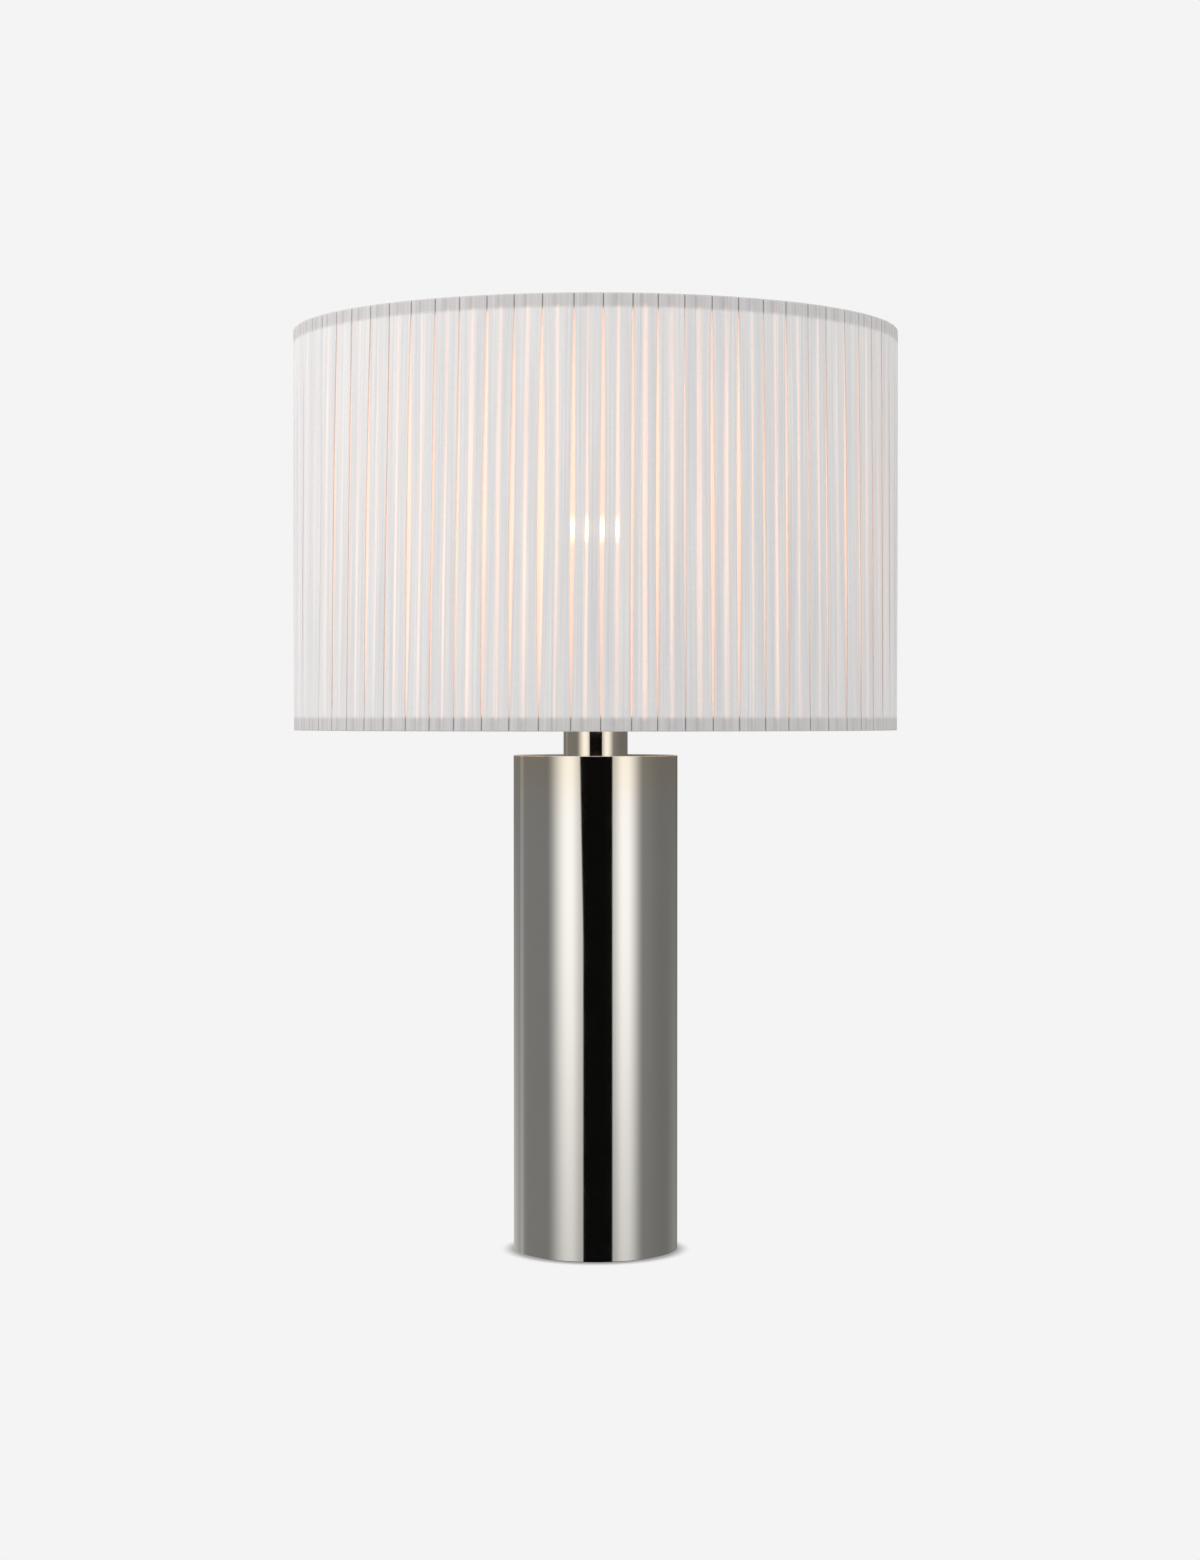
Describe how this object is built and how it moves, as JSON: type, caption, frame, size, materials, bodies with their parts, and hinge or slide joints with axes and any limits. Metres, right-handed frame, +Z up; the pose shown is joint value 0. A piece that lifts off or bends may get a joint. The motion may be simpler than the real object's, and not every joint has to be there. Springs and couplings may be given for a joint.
{
  "type": "pleated drum-shade table lamp",
  "caption": "Table lamp with a polished round column, a box-pleated drum shade on a harp, a screw-in bulb and a turn switch.",
  "frame": {"origin": "on the table under the middle of the column", "axes": "+Z up along the column, front towards -Y, +X to the right"},
  "size_m": [0.4068, 0.4064, 0.6222],
  "materials": {
    "felt": "pressed felt",
    "plated_steel": "zinc plated",
    "cast_iron": "as cast, black lacquer",
    "polished_nickel": "mirror polished, warm",
    "nickel_plate": "bright plated",
    "grommet_rubber": "matt",
    "insulating_paper": "pressed fibre",
    "phenolic": "moulded, satin",
    "brass": "bare",
    "frosted_glass": "inside frosted",
    "bulb_aluminium": "rolled",
    "black_glass": "vitreous black",
    "solder": "dull",
    "clear_glass": "clear",
    "glowing_wire": "hot when lit",
    "pleated_cloth": "fine plain weave",
    "shade_lining": "translucent, satin",
    "white_wire": "white enamel",
    "binding_tape": "woven tape"
  },
  "bodies": {
    "base": {"felt_pad": "felt", "base_plate": "plated_steel", "base_screws": "plated_steel", "base_weight": "cast_iron", "retaining_ring": "plated_steel", "column_tube": "polished_nickel", "cord_grommet": "grommet_rubber", "column_lid": "polished_nickel", "lamp_pipe": "plated_steel", "lock_washer": "plated_steel", "lock_nut": "plated_steel", "jam_nut": "plated_steel", "neck_sleeve": "polished_nickel", "harp_saddle": "nickel_plate", "holder_cap": "nickel_plate", "holder_shell": "nickel_plate", "holder_liner": "insulating_paper", "holder_block": "phenolic", "terminal_screws": "brass", "screw_shell": "brass", "centre_contact": "brass"},
    "switch": {"switch_shaft": "phenolic", "switch_knob": "phenolic"},
    "bulb": {"bulb_glass": "frosted_glass", "bulb_cap": "bulb_aluminium", "bulb_insulator": "black_glass", "bulb_tip": "solder", "bulb_stem": "clear_glass", "filament": "glowing_wire"},
    "harp": {"harp_wire": "nickel_plate"},
    "ferrule_left": {"ferrule_left": "nickel_plate"},
    "ferrule_right": {"ferrule_right": "nickel_plate"},
    "stud": {"harp_stud": "nickel_plate"},
    "shade": {"pleated_cover": "pleated_cloth", "shade_liner": "shade_lining", "top_ring": "white_wire", "bottom_ring": "white_wire", "top_tape": "binding_tape", "bottom_tape": "binding_tape", "spider_hub": "nickel_plate", "spider_arms": "nickel_plate"},
    "finial": {"finial": "nickel_plate"}
  },
  "joints": [
    {"name": "switch_turn", "type": "hinge", "parent": "base", "child": "switch", "pos_m": [0, -0.02, 0.407], "axis": [0, 1, 0], "continuous": true},
    {"name": "bulb_lift", "type": "slide", "parent": "base", "child": "bulb", "axis": [0, 0, 1], "range_m": [0, 0.035]},
    {"name": "harp_lift", "type": "slide", "parent": "base", "child": "harp", "axis": [0, 0, 1], "range_m": [0, 0.025]},
    {"name": "ferrule_left_slide", "type": "slide", "parent": "harp", "child": "ferrule_left", "axis": [0, 0, 1], "range_m": [0, 0.02]},
    {"name": "ferrule_right_slide", "type": "slide", "parent": "harp", "child": "ferrule_right", "axis": [0, 0, 1], "range_m": [0, 0.02]},
    {"name": "stud_swivel", "type": "hinge", "parent": "harp", "child": "stud", "pos_m": [0, 0, 0.603], "axis": [0, 0, 1], "continuous": true},
    {"name": "shade_lift", "type": "slide", "parent": "stud", "child": "shade", "axis": [0, 0, 1], "range_m": [0, 0.3]},
    {"name": "finial_lift", "type": "slide", "parent": "shade", "child": "finial", "axis": [0, 0, 1], "range_m": [0, 0.015]}
  ]
}
